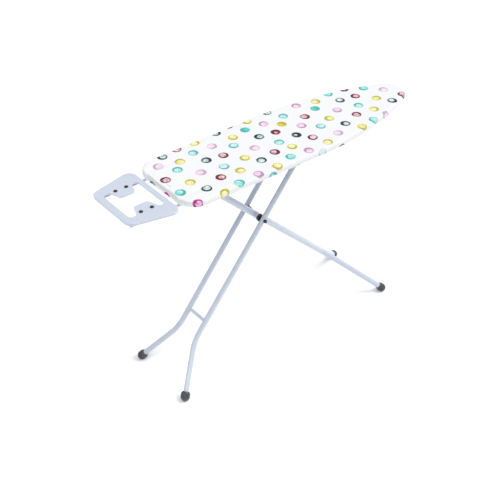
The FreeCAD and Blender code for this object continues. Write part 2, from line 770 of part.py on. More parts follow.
def height_lever():
    """Toothed channel; its notches drop over the top bar when it is let down."""
    x1 = LEVER_PIN_X + LEVER_TAIL
    block = box(LEVER_END_X, x1, -LEVER_HALF, LEVER_HALF, TOOTH_TIP, LEVER_TOP)
    hollow = box(LEVER_END_X + EAR, x1 + 1, -LEVER_HALF + EAR, LEVER_HALF - EAR, 0, LEVER_TOP - EAR)
    lever = block.cut(hollow)
    for i in range(NOTCHES):
        x = TOP_BAR.x + i * NOTCH_PITCH
        half = NOTCH_WIDTH / 2
        notch = box(x - half, x + half, -30, 30, TOOTH_TIP - 1, TOOTH_TIP + NOTCH_DEPTH)
        lever = lever.cut(notch)
    pin = cross_rod(LEVER_PIN_X, LEVER_PIN_Z, -30, 30, HANDLE_R + RUNNING)
    inside = LEVER_END_X + 2 * HANDLE_LAP
    handle_hole = rod(V(LEVER_END_X - 5, 0, HANDLE_Z), V(inside, 0, HANDLE_Z), HANDLE_R)
    return lever.cut(pin).cut(handle_hole)


def handle_path():
    start = V(LEVER_END_X + HANDLE_LAP, 0, HANDLE_Z)
    a = V(HANDLE_X + HANDLE_BEND, 0, HANDLE_Z)
    b = V(HANDLE_X, -HANDLE_BEND, HANDLE_Z)
    turn = HANDLE_BEND * (1 - math.sqrt(0.5))
    middle = V(HANDLE_X + turn, -turn, HANDLE_Z)
    end = V(HANDLE_X, -GRIP_END + 6, HANDLE_Z)
    edges = [Part.LineSegment(start, a).toShape(), Part.Arc(a, middle, b).toShape(),
             Part.LineSegment(b, end).toShape()]
    return Part.Wire(edges), start


def lever_handle():
    path, start = handle_path()
    return swept(path, HANDLE_R, start, V(-1, 0, 0))


def lever_grip():
    grip = cross_rod(HANDLE_X, HANDLE_Z, -GRIP_START, -GRIP_END, GRIP_R)
    ends = [e for e in grip.Edges if e.Length > 30 and e.BoundBox.YLength < 0.01]
    grip = grip.makeFillet(2.5, ends)
    return grip.cut(lever_handle())


# ---------------------------------------------------------------- all nodes

def nodes():
    made = {
        "cover": cover(),
        "foam_pad": foam_pad(),
        "top_panel": top_panel(),
        "rim_blunt": rim_blunt(),
        "rim_nose": rim_nose(),
        "fixed_pivot_rod": fixed_pivot_rod(),
        "pivot_rod_caps": pivot_rod_caps(),
        "lever_bracket": lever_bracket(),
        "lever_pin": lever_pin(),
        "lever_spring": lever_spring(),
        "iron_rest_plate": iron_rest_plate(),
        "rest_screws": rest_screws(),
        "outer_brace": outer_brace(),
        "top_bar": top_bar(),
        "bar_caps": bar_caps(),
        "cross_bolt": cross_bolt(),
        "inner_tube": inner_tube(),
        "inner_cross_tube": inner_cross_tube(),
        "height_lever": height_lever(),
        "lever_handle": lever_handle(),
        "lever_grip": lever_grip(),
    }
    for name in RAILS:
        made[name] = cross_rail(name)
    for word, side in (("near", -1), ("far", 1)):
        made["rim_" + word] = rim_side(side)
        made["pivot_bracket_" + word] = pivot_bracket(side)
        made["guide_rail_" + word] = guide_rail(side)
        made["rest_arm_" + word] = rest_arm(side)
        made["rest_support_" + word] = rest_support(side)
        made["rest_clamp_" + word] = rest_clamp(side)
        made["outer_tube_" + word] = outer_tube(side)
        made["tube_plug_" + word] = tube_plug(side)
        made["runner_" + word] = runner(side)
        made["cap_nut_" + word] = cap_nut(side)
        made["outer_foot_" + word] = outer_foot(side)
        made["pivot_bush_" + word] = pivot_bush(side)
        made["branch_" + word] = branch(side)
        made["cross_sleeve_" + word] = cross_sleeve(side)
        made["spacer_" + word] = spacer(side)
        made["inner_foot_" + word] = inner_foot(side)
        for place, x in zip(("outer", "inner"), REST_PAD_X):
            made["rest_pad_" + place + "_" + word] = rest_pad(x, side * REST_PAD_Y)
    return made


def main():
    os.makedirs("parts", exist_ok=True)
    for name, shape in sorted(nodes().items()):
        if not shape.isValid():
            print("not valid:", name)
        shape.exportStep("parts/" + name + ".step")
        size = shape.BoundBox
        print(name, len(shape.Solids), round(shape.Volume), [round(v, 1) for v in (
            size.XMin, size.XMax, size.YMin, size.YMax, size.ZMin, size.ZMax)])


main()
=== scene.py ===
import json
import math

import bmesh
import bpy
import numpy as np
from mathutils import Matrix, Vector, geometry, kdtree, noise


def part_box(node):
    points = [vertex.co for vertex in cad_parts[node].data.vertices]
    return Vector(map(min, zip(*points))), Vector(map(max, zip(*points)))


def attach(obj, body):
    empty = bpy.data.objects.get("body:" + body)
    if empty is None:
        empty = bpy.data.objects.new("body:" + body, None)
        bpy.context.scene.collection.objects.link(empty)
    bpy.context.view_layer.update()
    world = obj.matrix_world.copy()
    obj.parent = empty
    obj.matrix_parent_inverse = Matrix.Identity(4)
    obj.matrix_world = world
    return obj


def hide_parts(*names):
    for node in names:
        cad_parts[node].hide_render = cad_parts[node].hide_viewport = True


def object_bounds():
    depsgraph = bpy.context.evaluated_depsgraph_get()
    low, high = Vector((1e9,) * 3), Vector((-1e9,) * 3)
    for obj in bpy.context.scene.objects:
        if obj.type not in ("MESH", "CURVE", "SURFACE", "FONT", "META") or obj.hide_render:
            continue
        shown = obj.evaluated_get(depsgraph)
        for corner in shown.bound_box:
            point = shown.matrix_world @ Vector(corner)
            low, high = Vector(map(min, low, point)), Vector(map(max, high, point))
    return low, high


# Looks for the folding ironing board: its printed cover and pad, lacquer, rubber and steel.
# Metres throughout. +X runs to the nose, +Z is up and -Y is the lever side.

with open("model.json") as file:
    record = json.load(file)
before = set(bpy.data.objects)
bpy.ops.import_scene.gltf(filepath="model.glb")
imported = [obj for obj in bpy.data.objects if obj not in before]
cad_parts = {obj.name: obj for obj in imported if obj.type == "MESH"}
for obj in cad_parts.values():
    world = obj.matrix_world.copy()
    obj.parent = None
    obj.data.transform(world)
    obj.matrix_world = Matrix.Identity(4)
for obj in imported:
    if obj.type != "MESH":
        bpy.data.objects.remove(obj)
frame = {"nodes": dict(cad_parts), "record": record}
CAD_LOW, CAD_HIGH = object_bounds()
MM = 0.001


# ---------------------------------------------------------------- node helpers

class Tree:
    """Short ways to add and join nodes in one material."""

    def __init__(self, name):
        self.material = bpy.data.materials.new(name)
        self.material.use_nodes = True
        self.tree = self.material.node_tree
        self.shader = self.tree.nodes["Principled BSDF"]

    def put(self, socket, value):
        if isinstance(value, bpy.types.NodeSocket):
            self.tree.links.new(value, socket)
        elif value is not None:
            socket.default_value = value

    def node(self, kind, inputs=None, **settings):
        made = self.tree.nodes.new(kind)
        for key, value in settings.items():
            setattr(made, key, value)
        for key, value in (inputs or {}).items():
            self.put(made.inputs[key], value)
        return made

    def math(self, operation, a, b=None, c=None):
        made = self.tree.nodes.new("ShaderNodeMath")
        made.operation = operation
        for i, value in enumerate((a, b, c)):
            self.put(made.inputs[i], value)
        return made.outputs[0]

    def step(self, value, low, high, to_low=0.0, to_high=1.0):
        """Smooth ramp from to_low at low to to_high at high."""
        made = self.node("ShaderNodeMapRange", {
            "Value": value, "From Min": low, "From Max": high,
            "To Min": to_low, "To Max": to_high}, interpolation_type="SMOOTHSTEP")
        return made.outputs[0]

    def mix(self, factor, a, b):
        made = self.tree.nodes.new("ShaderNodeMix")
        made.data_type = "RGBA"
        self.put(made.inputs[0], factor)
        self.put(made.inputs[6], a)
        self.put(made.inputs[7], b)
        return made.outputs[2]

    def noise(self, vector, scale, detail=2.0, rough=0.5, distortion=0.0):
        made = self.node("ShaderNodeTexNoise", {
            "Vector": vector, "Scale": scale, "Detail": detail,
            "Roughness": rough, "Distortion": distortion})
        return made.outputs["Fac"]

    def place(self):
        """Position in the row frame: the object's own coordinates."""
        return self.node("ShaderNodeTexCoord").outputs["Object"]

    def bump(self, height, strength, distance):
        made = self.node("ShaderNodeBump", {
            "Height": height, "Strength": strength, "Distance": distance})
        self.put(self.shader.inputs["Normal"], made.outputs[0])

    def surface(self, **values):
        for key, value in values.items():
            self.put(self.shader.inputs[key.replace("_", " ")], value)
        return self.material


def rgb(r, g, b):
    return (r, g, b, 1.0)


# ---------------------------------------------------------------- materials

def lacquer(name, colour, rough=0.3):
    """Gloss stoving lacquer over steel tube, with orange peel and slight clouding."""
    t = Tree(name)
    at = t.place()
    cloud = t.noise(at, 9.0, 3.0)
    light = rgb(*[min(1.0, c * 1.05) for c in colour])
    dark = rgb(*[c * 0.95 for c in colour])
    peel = t.noise(at, 620.0, 1.0)
    t.bump(peel, 0.05, 0.0003)
    smear = t.noise(at, 34.0, 4.0, 0.6)
    return t.surface(Base_Color=t.mix(cloud, dark, light),
                     Roughness=t.step(smear, 0.3, 0.7, rough - 0.06, rough + 0.08),
                     Specular_IOR_Level=0.5, Coat_Weight=0.8, Coat_Roughness=0.14)


def coated_sheet(name, colour):
    """Thin matt coating on pressed sheet steel, finely mottled."""
    t = Tree(name)
    at = t.place()
    mottle = t.noise(at, 120.0, 4.0, 0.65)
    cloud = t.noise(at, 7.0, 2.0)
    tone = t.mix(cloud, rgb(*[c * 0.92 for c in colour]), rgb(*colour))
    worn = t.mix(t.step(mottle, 0.62, 0.75), tone, rgb(*[c * 0.82 for c in colour]))
    t.bump(mottle, 0.10, 0.0003)
    return t.surface(Base_Color=worn, Roughness=t.step(mottle, 0.3, 0.7, 0.38, 0.52),
                     Metallic=0.0)


def plated(name, colour):
    """Zinc-plated steel with drawn lines along X."""
    t = Tree(name)
    stretch = t.node("ShaderNodeMapping", {"Vector": t.place(), "Scale": (14.0, 900.0, 900.0)})
    lines = t.noise(stretch.outputs[0], 1.0, 3.0, 0.6)
    tone = t.mix(lines, rgb(*[c * 0.85 for c in colour]), rgb(*colour))
    t.bump(lines, 0.08, 0.0002)
    return t.surface(Base_Color=tone, Metallic=1.0, Roughness=t.step(lines, 0.3, 0.7, 0.22, 0.38))


def moulded(name, colour, rough, grain):
    """Moulded rubber or plastic with a fine spark grain and dusted patches spread by noise."""
    t = Tree(name)
    at = t.place()
    fine = t.noise(at, grain, 2.0, 0.6)
    dust = t.noise(at, 60.0, 4.0, 0.6)
    tone = t.mix(t.step(dust, 0.45, 0.75), rgb(*colour), rgb(*[c * 1.5 + 0.01 for c in colour]))
    t.bump(fine, 0.25, 0.0004)
    return t.surface(Base_Color=tone, Roughness=t.step(dust, 0.3, 0.7, rough, rough + 0.15))


def felt(name):
    """Needled felt over foam, seen through the steam holes."""
    t = Tree(name)
    at = t.place()
    fibres = t.noise(at, 900.0, 4.0, 0.7, 1.5)
    cloud = t.noise(at, 25.0, 3.0)
    tone = t.mix(cloud, rgb(0.72, 0.70, 0.65), rgb(0.86, 0.85, 0.81))
    t.bump(fibres, 0.6, 0.0008)
    return t.surface(Base_Color=t.mix(t.step(fibres, 0.35, 0.7), rgb(0.62, 0.60, 0.56), tone),
                     Roughness=0.95, Sheen_Weight=0.3)


def weave_height(t, sheet):
    """Plain weave: two sets of threads that pass over each other."""
    split = t.node("ShaderNodeSeparateXYZ", {0: sheet})
    along = t.math("SINE", t.math("MULTIPLY", split.outputs[0], 2 * math.pi / THREAD))
    across = t.math("SINE", t.math("MULTIPLY", split.outputs[1], 2 * math.pi / THREAD))
    return t.math("MULTIPLY_ADD", t.math("MULTIPLY", along, across), 0.5, 0.5)


def plain_cotton(name):
    """The cover's hem and piping, the same cloth without the print."""
    t = Tree(name)
    at = t.place()
    fibre = t.noise(at, 700.0, 3.0, 0.6)
    t.bump(fibre, 0.4, 0.0005)
    tone = t.mix(fibre, rgb(0.80, 0.80, 0.80), rgb(0.92, 0.92, 0.92))
    return t.surface(Base_Color=tone, Roughness=0.85, Sheen_Weight=0.15)


def printed_cotton(name):
    """White cotton printed with brushed ring dots; the mesh says where each dot lies."""
    t = Tree(name)
    sheet = t.node("ShaderNodeAttribute", attribute_name="sheet_at").outputs["Vector"]
    local = t.node("ShaderNodeAttribute", attribute_name="dot_at").outputs["Vector"]
    gap = t.node("ShaderNodeAttribute", attribute_name="dot_gap").outputs["Fac"]
    colour = t.node("ShaderNodeAttribute", attribute_name="dot_colour").outputs["Color"]
    wash = t.node("ShaderNodeAttribute", attribute_name="dot_wash").outputs["Color"]
    style = t.node("ShaderNodeAttribute", attribute_name="dot_style").outputs["Vector"]
    part = t.node("ShaderNodeSeparateXYZ", {0: style})
    open_r, lean_x, lean_y = part.outputs[0], part.outputs[1], part.outputs[2]

    flat = t.node("ShaderNodeVectorMath", {0: local, 1: (1.0, 1.0, 0.0)}, operation="MULTIPLY")
    reach = t.node("ShaderNodeVectorMath", {0: flat.outputs[0]}, operation="LENGTH").outputs["Value"]
    lean = t.node("ShaderNodeCombineXYZ", {0: lean_x, 1: lean_y})
    shifted = t.node("ShaderNodeVectorMath", {0: flat.outputs[0], 1: lean.outputs[0]},
                     operation="SUBTRACT")
    middle = t.node("ShaderNodeVectorMath", {0: shifted.outputs[0]},
                    operation="LENGTH").outputs["Value"]

    ragged = t.noise(local, 2.1, 3.0, 0.6)
    strokes = t.noise(local, 3.4, 3.0, 0.6, 1.6)
    blots = t.noise(local, 1.7, 2.0, 0.5, 0.8)
    outer = t.math("MULTIPLY_ADD", t.math("SUBTRACT", ragged, 0.5), 0.26, reach)
    inner = t.math("MULTIPLY_ADD", t.math("SUBTRACT", strokes, 0.5), 0.50, middle)
    side = t.node("ShaderNodeVectorMath", {0: flat.outputs[0], 1: lean.outputs[0]},
                  operation="DOT_PRODUCT").outputs["Value"]
    load = t.math("MULTIPLY_ADD", side, 1.6, strokes)

    deep = t.mix(0.30, colour, rgb(0.004, 0.004, 0.008))
    thin = t.mix(0.30, colour, wash)
    dry = t.mix(t.step(load, 0.62, 0.74), colour, thin)
    ring_tone = t.mix(t.step(load, 0.44, 0.56), deep, dry)
    heavy = t.mix(0.45, wash, colour)
    light = t.mix(0.45, wash, rgb(0.74, 0.74, 0.75))
    hole = t.math("SUBTRACT", inner, open_r)
    middle_tone = t.mix(t.step(blots, 0.44, 0.54), heavy, light)
    dot = t.mix(t.step(hole, -0.07, 0.04), middle_tone, ring_tone)
    inked = t.math("MULTIPLY", t.step(outer, 1.02, 0.92), t.step(gap, 1.20, 1.12))

    haze = t.noise(sheet, 5.0, 2.0)
    ground = t.mix(haze, rgb(0.695, 0.70, 0.71), rgb(0.725, 0.725, 0.73))
    slub = t.noise(sheet, 260.0, 3.0, 0.6)
    weave = weave_height(t, sheet)
    height = t.math("MULTIPLY_ADD", slub, 0.5, weave)
    t.bump(height, 0.22, 0.00025)
    return t.surface(Base_Color=t.mix(inked, ground, dot), Roughness=0.82,
                     Sheen_Weight=0.12, Specular_IOR_Level=0.3)


THREAD = 1.1 * MM
LACQUER = (0.492, 0.538, 0.630)


def make_materials():
    """One material for each of the record's slots, and one for the hem."""
    return {
        "lacquered_steel": lacquer("pale_blue_lacquer", LACQUER),
        "zinc_steel": coated_sheet("coated_sheet_steel", (0.56, 0.62, 0.72)),
        "bright_steel": plated("plated_steel", (0.70, 0.71, 0.73)),
        "dark_rubber": moulded("dark_rubber", (0.050, 0.050, 0.060), 0.32, 500.0),
        "black_plastic": moulded("black_plastic", (0.012, 0.012, 0.014), 0.35, 800.0),
        "foam": felt("felt_pad"),
        "cover_cloth": printed_cotton("printed_cotton"),
        "hem_cloth": plain_cotton("plain_cotton"),
    }


# ---------------------------------------------------------------- the board's outline

# Points round the outline, the pitch of the grid inside it, and how far in the flat top starts
RING = 720
GRID = 5.0 * MM
TOP_INSET = 22.0 * MM


def twice_area(loop):
    """Twice the signed area inside a closed loop of points."""
    following = np.roll(loop, -1, 0)
    return np.sum(loop[:, 0] * following[:, 1] - following[:, 0] * loop[:, 1])


def loop_of(node, count):
    """Points evenly spaced round a convex node in plan, from its blunt end, with normals."""
    data = frame["nodes"][node].data.vertices
    flat = [Vector((v.co.x, v.co.y)) for v in data]
    hull = np.array([flat[i][:] for i in geometry.convex_hull_2d(flat)])
    if twice_area(hull) < 0:
        hull = hull[::-1]
    crossing = [i for i in range(len(hull)) if hull[i][1] >= 0 > hull[(i + 1) % len(hull)][1]]
    start = crossing[0]
    a, b = hull[start], hull[(start + 1) % len(hull)]
    first = a + (b - a) * (a[1] / (a[1] - b[1]))
    order = [hull[(start + 1 + k) % len(hull)] for k in range(len(hull))]
    line = np.array([first] + order + [first])
    runs = np.concatenate([[0], np.cumsum(np.linalg.norm(np.diff(line, axis=0), axis=1))])
    at = np.arange(count) * runs[-1] / count
    points = np.stack([np.interp(at, runs, line[:, k]) for k in (0, 1)], axis=1)
    for _ in range(2):
        points = (np.roll(points, 1, 0) + 2 * points + np.roll(points, -1, 0)) / 4
    step = np.roll(points, -3, 0) - np.roll(points, 3, 0)
    step /= np.linalg.norm(step, axis=1)[:, None]
    normals = np.stack([step[:, 1], -step[:, 0]], axis=1)
    turn = np.abs(np.cross(np.roll(step, 3, 0), np.roll(step, -3, 0)))
    return points, normals, turn / turn.max(), runs[-1]


def grid_inside(points, normals, inset, pitch):
    """Staggered grid points that lie inside the outline moved in by inset."""
    row_step = pitch * math.sqrt(3) / 2
    low, high = points.min(0), points.max(0)
    rows = int((high[1] - low[1]) / row_step / 2)
    columns = int((high[0] - low[0]) / pitch)
    found = []
    for row in range(-rows, rows + 1):
        shift = pitch / 2 if row % 2 else 0.0
        x = low[0] + shift + pitch * np.arange(columns)
        found.append(np.stack([x, np.full(columns, row * row_step)], axis=1))
    found = np.concatenate(found)
    depth = np.full(len(found), np.inf)
    for point, normal in zip(points, normals):
        depth = np.minimum(depth, (point - found) @ normal)
    return found[depth > inset]


def mesh_object(name, vertices, faces, smooth=True):
    mesh = bpy.data.meshes.new(name)
    mesh.from_pydata([tuple(v) for v in vertices], [], faces)
    mesh.update()
    if smooth:
        mesh.polygons.foreach_set("use_smooth", [True] * len(mesh.polygons))
    made = bpy.data.objects.new(name, mesh)
    bpy.context.scene.collection.objects.link(made)
    return made


def top_and_rings(loop, loop_normals, rings, pitch):
    """A triangulated flat top inside the first ring, then rings of quads outwards.
    rings are arrays of points; the result is (vertices, faces, count of top points)."""
    count = len(loop)
    inner = grid_inside(loop, loop_normals, TOP_INSET + 0.7 * pitch, pitch)
    flat = [Vector(p) for p in np.concatenate([rings[0][:, :2], inner])]
    edges = [(i, (i + 1) % count) for i in range(count)]
    made = geometry.delaunay_2d_cdt(flat, edges, [], 0, 1e-7)
    assert len(made[0]) == len(flat)
    vertices = [np.array([p[0], p[1], rings[0][0, 2]]) for p in made[0]]
    faces = [tuple(f) for f in made[2]]
    base = list(range(count))
    for ring in rings[1:]:
        following = list(range(len(vertices), len(vertices) + count))
        vertices.extend(ring)
        faces.extend((base[i], following[i], following[(i + 1) % count], base[(i + 1) % count])
                     for i in range(count))
        base = following
    return np.array(vertices), faces, len(flat)


# ---------------------------------------------------------------- cover

# Radii of a printed dot, of the cover's upper edge and of its lower fold; how far the hem turns
# under; the radius of the hem's piping; and the length of one pucker
DOT_R = 18.5 * MM
EDGE_R = 10.0 * MM
FOLD_R = 2.5 * MM
HEM_INSET = 27.0 * MM
HEM_R = 1.6 * MM
PUCKER = 23.0 * MM

# Cloth simulation: every third outline point, these rows of the profile, how much slack the
# flat top has next to the hem's 1, and the most that the cloth may move. Nearly all of the flat
# top reaches MOST_OUT, so that limit sets its height
COARSE = 3
COARSE_ROWS = (0, 2, 3, 5, 7, 9, 10, 11, 12, 13, 15, 17, 19, 21)
COARSE_GRID = 14.0 * MM
TOP_SLACK = 0.08
HEM_SLACK = 0.05
SETTLE_FRAMES = 20
MOST_IN = 0.5 * MM
MOST_OUT = 1.8 * MM
ARM_CLEARANCE = 10.0 * MM

# Each ink: the colour of the brushed ring and of the thin wash inside it. G green, C wine,
# Y yellow, T turquoise, B blue, P pink, L lilac, M magenta, A pale teal.
INKS = {
    "G": ((0.003, 0.036, 0.038), (0.51, 0.72, 0.70)),
    "C": ((0.150, 0.005, 0.026), (0.76, 0.44, 0.52)),
    "Y": ((0.550, 0.490, 0.030), (0.76, 0.72, 0.30)),
    "T": ((0.070, 0.500, 0.440), (0.30, 0.64, 0.60)),
    "B": ((0.140, 0.470, 0.500), (0.42, 0.71, 0.69)),
    "P": ((0.550, 0.300, 0.490), (0.74, 0.54, 0.70)),
    "L": ((0.620, 0.420, 0.570), (0.75, 0.58, 0.72)),
    "M": ((0.520, 0.020, 0.260), (0.68, 0.30, 0.54)),
    "A": ((0.480, 0.600, 0.620), (0.66, 0.70, 0.71)),
}

# Open middle of a dot as a share of its radius: a plain ring, a half-filled and a filled dot
FILL = {"": 0.64, "H": 0.36, "F": 0.12}
DARK_FILL = 0.93
DARK_INKS = "GC"

# Each dot's own place in the brush noise, and how far and which way its open middle leans
SEED_STEP = 3.7
SEED_SPAN = 11.0
LEAN = 0.14
LEAN_TURN = 5.1

# The print: x and y of each dot in millimetres on the flat cloth, its ink, and H or F
PRINT = """
-347 146 G | -282 156 C | -210 151 Y | -112 158 G | -48 171 C | 24 155 Y | 121 161 G | 237 132 P
314 111 Y | 390 125 T | 462 116 C | -391 105 L | -318 84 Y | -251 102 B | -175 97 L | -83 98 Y
-18 112 TF | 60 104 P | 150 103 B | 277 73 TF | 392 62 G | 526 76 T | -420 22 C | -354 48 T
-244 36 G | -181 25 C | -115 54 B | -9 45 G | 56 33 CH | 108 62 YF | 209 51 C | 333 14 P
458 50 C | 577 21 L | -365 -39 Y | -303 -13 L | -222 -32 B | -135 -33 Y | -69 -4 L | 21 -27 T
100 -27 GH | 157 11 P | 207 -35 B | 268 -13 Y | 418 -8 T | 508 -11 Y | -424 -67 T | -345 -101 G
-270 -77 C | -195 -85 Y | -100 -79 G | -32 -67 C | 37 -77 Y | 133 -75 C | 288 -76 G | 365 -53 C
442 -65 Y | 541 -60 G | 606 -49 C | -414 -148 M | -311 -155 Y | -243 -140 T | -162 -138 P
-82 -140 Y | -10 -123 T | 65 -131 P | 153 -131 Y | 223 -108 L | 320 -129 Y | 387 -118 T
457 -118 L | -114 -172 B | -4 -187 G | 104 -167 A | 198 -182 C | -472 52 G | -472 -30 M
"""
# How far the whole print lies from the cloth's own axes
PRINT_X = -1.0 * MM
PRINT_Y = -5.0 * MM


def printed_dots():
    """(x, y, ring colour, wash colour, open middle) of each dot on the flat cloth."""
    dots = []
    for entry in PRINT.replace("\n", "|").split("|"):
        if entry.strip():
            x, y, ink = entry.split()
            open_r = FILL[ink[1:]] * (DARK_FILL if ink[0] in DARK_INKS else 1.0)
            dots.append((float(x) * MM + PRINT_X, float(y) * MM + PRINT_Y, *INKS[ink[0]], open_r))
    return dots


OUTLINE, OUTLINE_NORMALS, TURN, AROUND = loop_of("cover", RING)


def gathers():
    """Height of the puckers that the hem's elastic draws in, deepest on the tight curves."""
    phase = 2 * math.pi * np.arange(RING) * AROUND / RING / PUCKER
    slow = np.array([noise.noise(Vector((p[0] * 9, p[1] * 9, 4.0))) for p in OUTLINE])
    curl = np.sin(phase + 3.5 * slow) + 0.45 * np.sin(phase * 1.73 + 5.0 * slow + 1.0)
    return curl * (0.35 + 1.5 * np.clip(TURN, 0, 1)) * MM


def cover_profile():
    """(inset, z, distance along the cloth beyond the outline, share of the pucker) outwards."""
    top = CAD_HIGH.z
    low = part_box("cover")[0].z
    rows = [(inset, top, -inset, 0.0) for inset in np.linspace(TOP_INSET, EDGE_R, 4)]
    run = -EDGE_R
    for angle in range(15, 91, 15):
        run += EDGE_R * math.radians(15)
        a = math.radians(angle)
        rows.append((EDGE_R * (1 - math.sin(a)), top - EDGE_R * (1 - math.cos(a)), run, 0.0))
    fold = low + FOLD_R
    for k in range(1, 4):
        z = top - EDGE_R + (fold - top + EDGE_R) * k / 3
        rows.append((0.0, z, run + top - EDGE_R - z, 0.12 * k))
    run = rows[-1][2]
    for angle in range(30, 91, 30):
        run += FOLD_R * math.radians(30)
        a = math.radians(angle)
        rows.append((FOLD_R * (1 - math.cos(a)), fold - FOLD_R * math.sin(a), run, 0.4))
    for k in range(1, 7):
        inset = FOLD_R + (HEM_INSET - FOLD_R) * k / 6
        rows.append((inset, low, run + inset - FOLD_R, 0.4 + 0.6 * k / 6))
    return rows


def build_cover(material):
    """The cover; returns it, its flat size and area, and the lines of its hem and seam."""
    rows = cover_profile()
    full = gathers()
    rings, sheets = [], []
    for inset, z, run, share in rows:
        hem_place = OUTLINE - OUTLINE_NORMALS * inset
        puckers = full * clear_of_arms(hem_place)
        sideways = share * 0.35 * puckers * (1 if inset < FOLD_R else 0)
        plan = OUTLINE - OUTLINE_NORMALS * (inset - sideways)[:, None]
        height = z + (share * puckers if inset >= FOLD_R else 0) * np.ones(RING)
        rings.append(np.column_stack([plan, height]))
        sheets.append(OUTLINE + OUTLINE_NORMALS * run)
    vertices, faces, flat_count = top_and_rings(OUTLINE, OUTLINE_NORMALS, rings, GRID)
    sheet = np.concatenate([vertices[:flat_count, :2]] + sheets[1:])
    made = mesh_object("cover_cloth", vertices, faces)
    made.data.materials.append(material)
    let_out(made, settle(vertices))
    print_on(made, sheet)
    edge = sheets[-1]
    area = abs(twice_area(edge)) / 2
    size = edge.max(0) - edge.min(0)
    place = np.array([v.co[:] for v in made.data.vertices])
    return made, (float(size[1]), float(size[0])), float(area), place[-RING:], place[-2 * RING:-RING]


def coarse_cover():
    """The cover on a coarse mesh for the cloth simulation, with the slack of each point."""
    loop = OUTLINE[::COARSE]
    normals = OUTLINE_NORMALS[::COARSE]
    rows = [cover_profile()[k] for k in COARSE_ROWS]
    rings = [np.column_stack([loop - normals * inset, np.full(len(loop), z)])
             for inset, z, _, _ in rows]
    vertices, faces, flat_count = top_and_rings(loop, normals, rings, COARSE_GRID)
    slack = np.full(len(vertices), TOP_SLACK)
    for k, row in enumerate(rows[1:]):
        first = flat_count + k * len(loop)
        slack[first:first + len(loop)] = max(TOP_SLACK, row[3])
    return vertices, faces, slack


def simulate():
    """Lets the coarse cloth settle; returns its points at rest and how far each one moved."""
    rest, faces, slack = coarse_cover()
    made = mesh_object("settling_cover", rest, faces)
    pins = made.vertex_groups.new(name="pins")
    pins.add(list(range(len(rest) - len(OUTLINE[::COARSE]), len(rest))), 1.0, "REPLACE")
    loose = made.vertex_groups.new(name="loose")
    for i, value in enumerate(slack):
        loose.add([i], float(value), "REPLACE")
    cloth = made.modifiers.new("cloth", "CLOTH")
    made_of = cloth.settings
    made_of.quality = 4
    made_of.mass = 0.12
    made_of.bending_stiffness = 0.4
    made_of.vertex_group_mass = "pins"
    made_of.vertex_group_shrink = "loose"
    made_of.shrink_min = 0.0
    made_of.shrink_max = -HEM_SLACK
    made_of.use_pressure = True
    made_of.uniform_pressure_force = 4.0
    made_of.effector_weights.gravity = 0.0
    cloth.collision_settings.use_collision = False
    cloth.point_cache.frame_start = 1
    cloth.point_cache.frame_end = SETTLE_FRAMES
    scene = bpy.context.scene
    for frame_number in range(1, SETTLE_FRAMES + 1):
        scene.frame_set(frame_number)
    shape = made.evaluated_get(bpy.context.evaluated_depsgraph_get()).data
    after = np.array([v.co[:] for v in shape.vertices])
    scene.frame_set(1)
    bpy.data.objects.remove(made)
    return rest, after - rest


def settle(vertices):
    """How far the settled coarse cloth carries each vertex of the fine one."""
    rest, moved = simulate()
    tree = kdtree.KDTree(len(rest))
    for i, v in enumerate(rest):
        tree.insert(v, i)
    tree.balance()
    result = np.zeros_like(vertices)
    for i, v in enumerate(vertices):
        near = tree.find_n(v, 4)
        weights = np.array([1.0 / (far + 0.5 * MM) for _, _, far in near])
        result[i] = (weights[:, None] * moved[[k for _, k, _ in near]]).sum(0) / weights.sum()
    return result


def let_out(obj, moved):
    """Moves each vertex along its normal by the settled amount, between the pad and the air."""
    normals = np.array([v.normal[:] for v in obj.data.vertices])
    out = np.clip((moved * normals).sum(1), -MOST_IN, MOST_OUT)
    place = np.array([v.co[:] for v in obj.data.vertices])
    by_arm = clear_of_arms(place)
    obj.data.vertices.foreach_set("co", (place + normals * (out * by_arm)[:, None]).ravel())
    obj.data.update()


def clear_of_arms(points):
    """0 where a rest arm passes close under the hem, rising to 1 away from it."""
    arm_low, arm_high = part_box("rest_arm_far")
    arm_y = (arm_low.y + arm_high.y) / 2
    beside = np.abs(np.abs(points[:, 1]) - arm_y) - (arm_high.y - arm_low.y) / 2
    beyond = points[:, 0] - arm_high.x
    return np.clip(np.maximum(beside, beyond) / ARM_CLEARANCE, 0, 1)


def print_on(obj, sheet):
    """Writes each vertex's place on the flat cloth and its nearest dot as attributes."""
    dots = printed_dots()
    centres = np.array([[d[0], d[1]] for d in dots])
    away = sheet[:, None, :] - centres[None, :, :]
    distance = np.linalg.norm(away, axis=2)
    nearest = distance.argmin(axis=1)
    pick = np.arange(len(sheet))
    number = np.arange(len(dots))
    seeds = SEED_STEP * number % SEED_SPAN
    lean = np.stack([np.cos(LEAN_TURN * number), np.sin(LEAN_TURN * number)], axis=1)
    open_r = np.array([d[4] * (1 + 0.08 * math.sin(2.3 * i)) for i, d in enumerate(dots)])
    inks = np.array([rgb(*d[2]) for d in dots])
    washes = np.array([rgb(*d[3]) for d in dots])
    local = np.column_stack([away[pick, nearest] / DOT_R, seeds[nearest]])
    style = np.column_stack([open_r[nearest], LEAN * lean[nearest]])
    write(obj, "sheet_at", "FLOAT_VECTOR", "vector", np.column_stack([sheet, np.zeros(len(sheet))]))
    write(obj, "dot_at", "FLOAT_VECTOR", "vector", local)
    write(obj, "dot_gap", "FLOAT", "value", distance[pick, nearest] / DOT_R)
    write(obj, "dot_colour", "FLOAT_COLOR", "color", inks[nearest])
    write(obj, "dot_wash", "FLOAT_COLOR", "color", washes[nearest])
    write(obj, "dot_style", "FLOAT_VECTOR", "vector", style)


def write(obj, name, kind, field, values):
    attribute = obj.data.attributes.new(name, kind, "POINT")
    attribute.data.foreach_set(field, np.asarray(values, np.float32).ravel())


